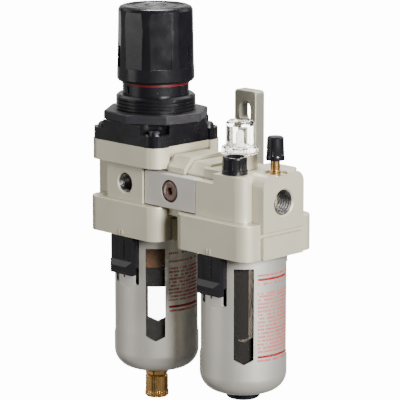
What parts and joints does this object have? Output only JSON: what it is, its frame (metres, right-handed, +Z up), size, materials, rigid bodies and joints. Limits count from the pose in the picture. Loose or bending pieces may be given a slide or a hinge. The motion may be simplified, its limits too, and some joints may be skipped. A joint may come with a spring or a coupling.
{
  "type": "filter regulator lubricator",
  "caption": "Modular air filter regulator and lubricator with a knob, guarded bowls, sight dome, drain, threaded ports and a slotted wall bracket.",
  "frame": {"origin": "centre of the bracket's two-slot pattern, on the wall plane, at the height of the port axis", "axes": "+X from the inlet port to the outlet port, +Y into the wall, +Z up along the bowls and the knob"},
  "size_m": [0.1573, 0.0882, 0.2733],
  "materials": {
    "cast_paint": "satin champagne paint on die-cast aluminium, fine texture",
    "clamp_paint": "satin grey paint on cast metal",
    "guard_paint": "satin silver-grey paint on drawn steel",
    "black_plastic": "semi-gloss moulded black",
    "nut_plastic": "satin moulded dark grey",
    "ring_red": "dark red",
    "clear": "clear moulded polycarbonate",
    "smoky": "smoke-tinted polycarbonate",
    "brass": "turned brass",
    "screw_bronze": "brown passivated steel",
    "steel": "zinc-plated steel",
    "element": "porous brown resin",
    "seal_rubber": "matt nitrile",
    "white_plastic": "natural acetal"
  },
  "bodies": {
    "units": {"regulator_body": "cast_paint", "bonnet": "black_plastic", "bonnet_screws": "steel", "lock_ring": "ring_red", "diaphragm": "seal_rubber", "valve_guide": "black_plastic", "filter_element": "element", "baffle": "black_plastic", "spacer": "cast_paint", "spacer_seals": "seal_rubber", "front_clamp": "clamp_paint", "clamp_screw": "screw_bronze", "wall_bracket": "cast_paint", "bracket_screw": "steel", "lubricator_body": "cast_paint", "dome_seal": "seal_rubber", "drip_nozzle": "steel", "relief_stem": "brass", "flow_damper": "white_plastic", "siphon_guide": "black_plastic", "siphon_tube": "clear", "siphon_strainer": "brass", "valve_spring": "steel"},
    "panel_nut": {"panel_nut": "nut_plastic"},
    "spindle": {"adjusting_screw": "steel"},
    "knob": {"adjusting_knob": "black_plastic", "knob_cap": "black_plastic"},
    "spring_seat": {"spring_seat": "steel", "regulating_spring": "steel"},
    "valve": {"diaphragm_plate": "steel", "main_valve": "brass"},
    "filter_bowl": {"filter_bowl": "clear", "filter_bowl_oring": "seal_rubber", "filter_guard": "guard_paint", "drain_body": "brass", "filter_latch_spring": "steel"},
    "filter_latch": {"filter_latch": "black_plastic"},
    "drain_knob": {"drain_knob": "brass"},
    "lubricator_bowl": {"lubricator_bowl": "smoky", "lubricator_bowl_oring": "seal_rubber", "lubricator_guard": "guard_paint", "lubricator_latch_spring": "steel", "bottom_plug": "black_plastic"},
    "lubricator_latch": {"lubricator_latch": "black_plastic"},
    "sight_dome": {"sight_dome": "clear"},
    "oil_fill_plug": {"oil_fill_plug": "black_plastic", "fill_plug_seal": "seal_rubber"},
    "relief_cap": {"relief_cap": "black_plastic"}
  },
  "joints": [
    {"name": "panel_nut_turn", "type": "hinge", "parent": "units", "child": "panel_nut", "pos_m": [-0.042, -0.052, 0.0449], "axis": [0, 0, 1], "range_deg": [-180, 180]},
    {"name": "spindle_turn", "type": "hinge", "parent": "units", "child": "spindle", "pos_m": [-0.042, -0.052, 0.07], "axis": [0, 0, 1], "range_deg": [-720, 720]},
    {"name": "knob_push", "type": "slide", "parent": "spindle", "child": "knob", "axis": [0, 0, 1], "range_m": [-0.003, 0]},
    {"name": "spring_seat_travel", "type": "slide", "parent": "units", "child": "spring_seat", "axis": [0, 0, 1], "range_m": [-0.004, 0.004], "deforming": ["regulating_spring"]},
    {"name": "valve_lift", "type": "slide", "parent": "units", "child": "valve", "axis": [0, 0, 1], "range_m": [-0.0015, 0], "stiffness_N_per_m": 1500, "springref_m": 0.0002, "deforming": ["diaphragm", "valve_spring"]},
    {"name": "filter_bowl_turn", "type": "hinge", "parent": "units", "child": "filter_bowl", "pos_m": [-0.042, -0.052, -0.025], "axis": [0, 0, 1], "range_deg": [-45, 0]},
    {"name": "filter_latch_slide", "type": "slide", "parent": "filter_bowl", "child": "filter_latch", "axis": [0, 0, 1], "range_m": [-0.0045, 0], "stiffness_N_per_m": 400, "springref_m": 0.002, "deforming": ["filter_latch_spring"]},
    {"name": "drain_turn", "type": "hinge", "parent": "filter_bowl", "child": "drain_knob", "pos_m": [-0.042, -0.052, -0.145], "axis": [0, 0, 1], "range_deg": [0, 180]},
    {"name": "lubricator_bowl_turn", "type": "hinge", "parent": "units", "child": "lubricator_bowl", "pos_m": [0.042, -0.052, -0.025], "axis": [0, 0, 1], "range_deg": [-45, 0]},
    {"name": "lubricator_latch_slide", "type": "slide", "parent": "lubricator_bowl", "child": "lubricator_latch", "axis": [0, 0, 1], "range_m": [-0.0045, 0], "stiffness_N_per_m": 400, "springref_m": 0.002, "deforming": ["lubricator_latch_spring"]},
    {"name": "sight_dome_turn", "type": "hinge", "parent": "units", "child": "sight_dome", "pos_m": [0.0384, -0.0521, 0.03], "axis": [0, 0, 1], "range_deg": [-180, 180]},
    {"name": "oil_fill_plug_turn", "type": "hinge", "parent": "units", "child": "oil_fill_plug", "pos_m": [0.0508, -0.0694, 0.02], "axis": [0, 0, 1], "range_deg": [0, 720]},
    {"name": "relief_cap_turn", "type": "hinge", "parent": "units", "child": "relief_cap", "pos_m": [0.0725, -0.054, 0.035], "axis": [0, 0, 1], "range_deg": [-180, 180]}
  ],
  "couplings": [
    {"joint": "spindle_turn", "follows": "spring_seat_travel", "rad_per_m": -3141.6}
  ]
}
